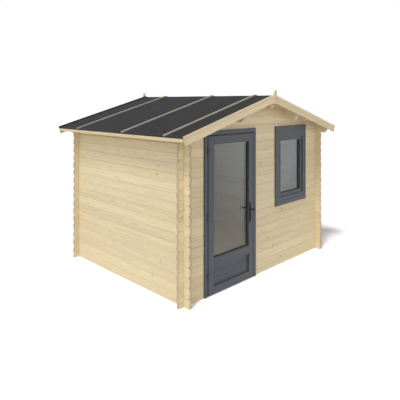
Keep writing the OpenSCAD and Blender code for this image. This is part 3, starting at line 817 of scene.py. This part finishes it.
def painted(name, coat, light, worn, dullness):
    """Paint over softwood, from coat to light in soft clouds."""
    material, tree = new_material(name)
    wood = wire(tree, "ShaderNodeGroup", {"Ring width": 0.0036, "Knottiness": 0.25},
                node_tree=softwood)
    cloud = noisy(tree, own_place(tree), 5.0, 4.0)
    share = sums(tree, "MULTIPLY_ADD", cloud, 0.7,
                 sums(tree, "MULTIPLY_ADD", marked(tree, "board"), 0.3, -0.05))
    share = sums(tree, "ADD", share, sums(tree, "MULTIPLY_ADD", wood.outputs["Fibre"], 0.5, -0.25))
    tone = blended(tree, share, srgb(*coat), srgb(*light))
    shown(tree, bumped(tree, wood.outputs["Height"], 1.0, 1.0, {
        "Base Color": worn_arris(tree, tone, srgb(*worn)), "Specular IOR Level": 0.4,
        "Roughness": sums(tree, "MULTIPLY_ADD", cloud, 0.12, dullness)}))
    return material


grey_paint = painted("dark grey paint", coat=(74, 79, 85), light=(83, 87, 94),
                     worn=(118, 121, 126), dullness=0.42)
eased("door_uprights", ["door_jamb_left", "door_jamb_right"], 0.002, run_z, grey_paint, "shed",
      seed=101)
eased("door_lintel", ["door_head"], 0.002, run_x, grey_paint, "shed", seed=102)


# ---- threshold ----
# A low bar of drawn aluminium, mill finish, that stands against the floor's edge between the
# uprights and closes the foot of the doorway.

mill_metal, tree = new_material("mill finish metal")
place = own_place(tree)
lines = noisy(tree, times(tree, place, (2.0, 900.0, 900.0)), 1.0, 2.0)
tone = blended(tree, smooth(tree, noisy(tree, place, 9.0, 6.0), 0.45, 0.75),
               srgb(178, 179, 180), srgb(140, 140, 139))
shown(tree, bumped(tree, lines, 0.3, 0.0001, {
    "Base Color": tone, "Metallic": 1.0,
    "Roughness": sums(tree, "MULTIPLY_ADD", lines, 0.25, 0.25)}))
eased("door_threshold", ["threshold"], 0.0025, run_x, mill_metal, "shed", seed=111)


# ---- hinges ----
# Three steel butt hinges coated in dark grey, each with a knuckle on the frame that holds the pin,
# and a knuckle on the leaf.

def coated_metal(name, coat, light, worn, gleam):
    """Steel under a thin satin coat."""
    material, tree = new_material(name)
    place = own_place(tree)
    fleck, cloud = noisy(tree, place, 900.0, 2.0), noisy(tree, place, 22.0, 4.0)
    tone = blended(tree, cloud, srgb(*coat), srgb(*light))
    shown(tree, bumped(tree, fleck, 0.25, 0.0002, {
        "Base Color": worn_arris(tree, tone, srgb(*worn), 0.45), "Specular IOR Level": gleam,
        "Roughness": sums(tree, "MULTIPLY_ADD", cloud, 0.15, 0.32)}))
    return material


hinge_metal = coated_metal("dark hinge metal", coat=(50, 54, 62), light=(62, 66, 74),
                           worn=(110, 112, 116), gleam=0.4)
for name, node, body, seed in (("hinge_pin_halves", "hinge_pins", "shed", 121),
                               ("hinge_leaf_halves", "hinge_flaps", "door", 122)):
    eased(name, [node], 0.0005, run_z, hinge_metal, body, seed=seed, cracks=30)


# ---- door leaf ----
# Two stiles and three rails of softwood, joined round a boarded panel below and a glazed light
# above, under the same paint as the frame.

for name, node, run, seed in (("leaf_stile_hinge", "door_stile_hinge", run_z, 131),
                              ("leaf_stile_lock", "door_stile_lock", run_z, 132),
                              ("leaf_rails", "door_rails", run_x, 133)):
    eased(name, [node], 0.002, run, grey_paint, "door", seed=seed)


# ---- leaf seal ----
# A thin black rubber strip glued round the outer hinge arris of the leaf, over a little of its
# face and a third of its edge. It is partly a real seal and partly painted shade: its black
# fills the hinge gap where the shade lies.

black_rubber, tree = new_material("rubber strip")
dust = noisy(tree, own_place(tree), 40.0, 5.0)
tone = blended(tree, smooth(tree, dust, 0.5, 0.8), srgb(22, 22, 23), srgb(52, 52, 52))
shown(tree, bumped(tree, dust, 0.2, 0.0005, {
    "Base Color": tone, "Roughness": sums(tree, "MULTIPLY_ADD", dust, 0.2, 0.6)}))

low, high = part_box("door_stile_hinge")
short = 0.003
section = [(-0.006, 0.0), (-0.006, -0.0004), (-0.0055, -0.0008), (0.0006, -0.0008),
           (0.0010, -0.0004), (0.0010, 0.0185), (0.0005, 0.019), (0.0, 0.019), (0.0, 0.0)]
seal = skinned("leaf_seal", [[[(low.x - out, low.y + deep, z) for out, deep in section]
                              for z in (low.z + short, high.z - short)]])
placed("leaf_seal", seal, black_rubber, "door")


# ---- door panel ----
# Three tongued and grooved softwood boards across the lower part of the leaf, held between its
# stiles and rails and painted with them.

low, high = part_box("door_panel")
boards, gap = 3, 0.0004
pitch = (high.z - low.z) / boards
luck = random.Random(141)
panel = laid_boards(
    "panel_boards",
    [(low.x, high.x, low.z + i * pitch, *uncut, luck.random()) for i in range(boards)],
    {"Board height": pitch - gap, "Board thickness": high.y - low.y, "Joint height": 0.004,
     "Joint depth": 0.004, "Place": (0, (low.y + high.y) / 2, 0), "Material": grey_paint})
placed("panel_boards", panel, grey_paint, "door", ["door_panel"])


# ---- glazing ----
# A clear toughened pane in the leaf and one in the window, each bedded in a thin black rubber
# strip on both faces. The strips stand out in front of the panes, partly as painted shade that
# darkens the reveals round the glass.

pane_glass, tree = new_material("clear pane")
path = wire(tree, "ShaderNodeLightPath")
clear = bumped(tree, noisy(tree, own_place(tree), 3.0, 1.0), 0.1, 0.002, {
    "Base Color": srgb(214, 220, 232), "Roughness": 0.07, "IOR": 1.4, "Metallic": 0.0,
    "Transmission Weight": 1.0})
through = wire(tree, "ShaderNodeBsdfTransparent", {"Color": (0.90, 0.92, 0.94, 1)})
shown(tree, wire(tree, "ShaderNodeMixShader", {0: path.outputs["Is Shadow Ray"],
                                               1: clear.outputs[0], 2: through.outputs[0]}))


def rubber_ring(name, node, body, wide, deep):
    """A strip round both faces of a pane, just inside its edges."""
    low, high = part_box(node)
    rings = [[[(x, y, z) for x, z in ((low.x + off, high.z - off), (high.x - off, high.z - off),
                                      (high.x - off, low.z + off), (low.x + off, low.z + off))]
              for off, y in ((0.0, y0), (wide * 0.8, y0),
                             (wide, (y0 + y1) / 2 if y0 < low.y else y1), (wide, y1), (0.0, y1))]
             for y0, y1 in ((low.y - deep, low.y), (high.y, high.y + deep))]
    placed(name, skinned(name, rings, hoops=True), black_rubber, body)


for node in ("door_glass", "window_glass"):
    dressed(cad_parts[node].data, pane_glass)
# Black rubber, partly painted shade in the reveals: deep is how far each strip stands out from the
# glass.
rubber_ring("door_glazing_strip", "door_glass", "door", 0.004, 0.010)
rubber_ring("window_glazing_strip", "window_glass", "shed", 0.004, 0.006)


# ---- handle set ----
# A black plate on each face of the leaf over the lock, a knob outside, a lever inside and the
# lock cylinder through both plates.

satin_black = coated_metal("satin black metal", coat=(18, 19, 21), light=(30, 31, 34),
                           worn=(80, 80, 82), gleam=0.15)
eased("lock_plates", ["handle_plates"], 0.0015, run_z, satin_black, "door",
      seed=151, cracks=30)
eased("lock_barrel", ["lock_cylinder"], 0.0008, run_x, satin_black, "door", seed=152,
      cracks=30)
dressed(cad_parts["handle"].data, satin_black)


# ---- window ----
# A fixed window of painted softwood: uprights, head and sill in the wall, and a stepped sash
# inside them round one pane.

for name, node, arris, run, seed in (("window_uprights", "window_jambs", 0.002, run_z, 161),
                                     ("window_lintel", "window_head", 0.002, run_x, 162),
                                     ("window_ledge", "window_sill", 0.002, run_x, 163),
                                     ("sash_stiles", "window_sash_stiles", 0.0015, run_z, 164),
                                     ("sash_rails", "window_sash_rails", 0.0015, run_x, 165)):
    eased(name, [node], arris, run, grey_paint, "shed", seed=seed)


# ---- nails and screws ----
# Galvanised heads: screws through the bargeboards into the timbers behind, nails in the battens
# and fascias, clout nails along the felt's lower edges, and black screws in the lock plates.

heads, given, made = new_group(
    "Fixing heads", "GeometryNodeTree",
    [("Geometry", "NodeSocketGeometry", None), ("Dome", "NodeSocketFloat", 0.35),
     ("Material", "NodeSocketMaterial", None)],
    [("Geometry", "NodeSocketGeometry")])
dome = wire(heads, "GeometryNodeMeshUVSphere", {"Segments": 8, "Rings": 4, "Radius": 1.0})
turn = wire(heads, "FunctionNodeAlignRotationToVector",
            {"Vector": mark(heads, "facing", "FLOAT_VECTOR")}, axis="Z").outputs[0]
wide = mark(heads, "radius")
reach = wire(heads, "ShaderNodeCombineXYZ", {
    0: wide, 1: wide, 2: sums(heads, "MULTIPLY", wide, given.outputs["Dome"])})
laid = wire(heads, "GeometryNodeInstanceOnPoints", {
    "Points": given.outputs["Geometry"], "Instance": dome.outputs[0], "Rotation": turn,
    "Scale": reach.outputs[0]})
laid = wire(heads, "GeometryNodeRealizeInstances", {"Geometry": laid.outputs[0]})
laid = wire(heads, "GeometryNodeSetShadeSmooth", {"Geometry": laid.outputs[0]})
laid = wire(heads, "GeometryNodeSetMaterial", {"Geometry": laid.outputs[0],
                                               "Material": given.outputs["Material"]})
heads.links.new(laid.outputs[0], made.inputs[0])

zinc, tree = new_material("galvanised heads")
spangle = wire(tree, "ShaderNodeTexVoronoi",
               {"Vector": own_place(tree), "Scale": 700.0}).outputs["Distance"]
shown(tree, bumped(tree, spangle, 0.2, 0.0003, {
    "Base Color": blended(tree, spangle, srgb(168, 170, 172), srgb(122, 124, 126)),
    "Metallic": 1.0, "Roughness": sums(tree, "MULTIPLY_ADD", spangle, 0.3, 0.38)}))


def fixings(name, body, material, points):
    """points holds (place, facing, radius) for each head."""
    mesh = bpy.data.meshes.new(name)
    mesh.from_pydata([p[0] for p in points], [], [])
    facings = mesh.attributes.new("facing", "FLOAT_VECTOR", "POINT")
    facings.data.foreach_set("vector", [v for p in points for v in p[1]])
    radii = mesh.attributes.new("radius", "FLOAT", "POINT")
    radii.data.foreach_set("value", [p[2] for p in points])
    placed(name, grown(name, heads, mesh, {"Material": material}), material, body)


points = []
low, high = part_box("bargeboards_front")
board_width, screw, nail, clout, pin = 0.110, 0.0042, 0.003, 0.005, 0.0025
behind = (sum(v.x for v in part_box("purlin_right")) / 2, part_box("top_logs")[1].x - thick / 2)
for out in (-1, 1):
    for side in (-1, 1):
        for x in behind:
            for share in (0.28, 0.72):
                down = x * slope + share * board_width / roof_cos
                points.append(((side * x, -out * low.y, high.z - down), (0, out, 0), screw))
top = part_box("battens")[1].z
for y in laps:
    for side in (-1, 1):
        for x in (0.12, 0.42, 0.72, 1.02, 1.32, 1.62):
            points.append(((side * x, y, top - x * slope), (side * roof_sin, 0, roof_cos), nail))
felt_low, felt_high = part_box("felt_left")
fascia_low, fascia_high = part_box("fascias")
clout_x = -felt_low.x - 0.025


def spread(count, margin):
    """Places evenly from one verge of the felt to the other."""
    step = (felt_high.y - felt_low.y - 2 * margin) / (count - 1)
    return [felt_low.y + margin + k * step for k in range(count)]


for side in (-1, 1):
    for y in spread(36, margin=0.04):
        points.append(((side * clout_x, y, felt_high.z - clout_x * slope + 0.0012),
                       (side * roof_sin, 0, roof_cos), clout))
    for y in spread(8, margin=0.12):
        points.append(((side * fascia_high.x, y, fascia_low.z + 0.018), (side, 0, 0), pin))
fixings("roof_fixings", "shed", zinc, points)

low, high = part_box("handle_plates")
inset, plate_screw = 0.012, 0.0035
fixings("plate_screws", "door", satin_black, [
    (((low.x + high.x) / 2, y, z), (0, out, 0), plate_screw)
    for out, y in ((-1, low.y), (1, high.y)) for z in (low.z + inset, high.z - inset)])
